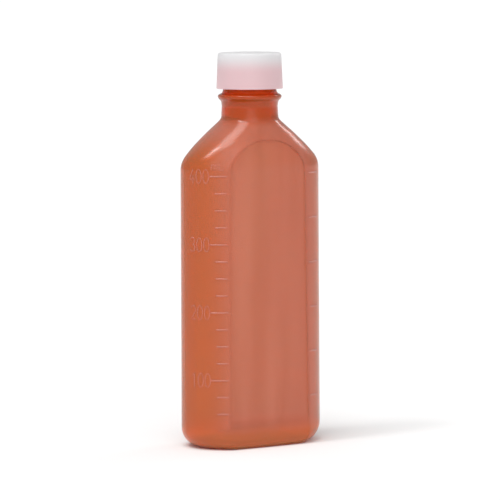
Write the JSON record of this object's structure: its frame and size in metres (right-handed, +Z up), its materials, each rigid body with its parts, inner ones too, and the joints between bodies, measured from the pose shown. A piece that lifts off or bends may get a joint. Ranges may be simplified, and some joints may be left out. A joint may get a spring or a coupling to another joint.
{
  "type": "urine bottle",
  "caption": "Flat oval translucent bottle with recessed front and back panels, raised volume scales, a narrow threaded neck, a smooth screw cap and a sealing disc.",
  "frame": {"origin": "centre of the foot, on the surface that the bottle stands on", "axes": "+Z up through the neck, X along the bottle's wide way, -Y out of the front panel"},
  "size_m": [0.0832, 0.0419, 0.2163],
  "materials": {
    "bottle_plastic": "translucent orange-red blown plastic, softly glossy",
    "cap_plastic": "translucent white moulded plastic, satin",
    "disc_foam": "closed-cell foam, matte"
  },
  "bodies": {
    "bottle": {"bottle": "bottle_plastic"},
    "disc": {"sealing_disc": "disc_foam"},
    "cap": {"screw_cap": "cap_plastic"}
  },
  "joints": [
    {"name": "cap_lift", "type": "slide", "parent": "bottle", "child": "disc", "axis": [0, 0, 1], "range_m": [0, 0.01872]},
    {"name": "cap_turn", "type": "hinge", "parent": "disc", "child": "cap", "pos_m": [0, 0, 0.206], "axis": [0, 0, 1], "range_deg": [0, 1620]}
  ],
  "couplings": [
    {"joint": "cap_lift", "follows": "cap_turn", "m_per_rad": 0.00066208}
  ]
}
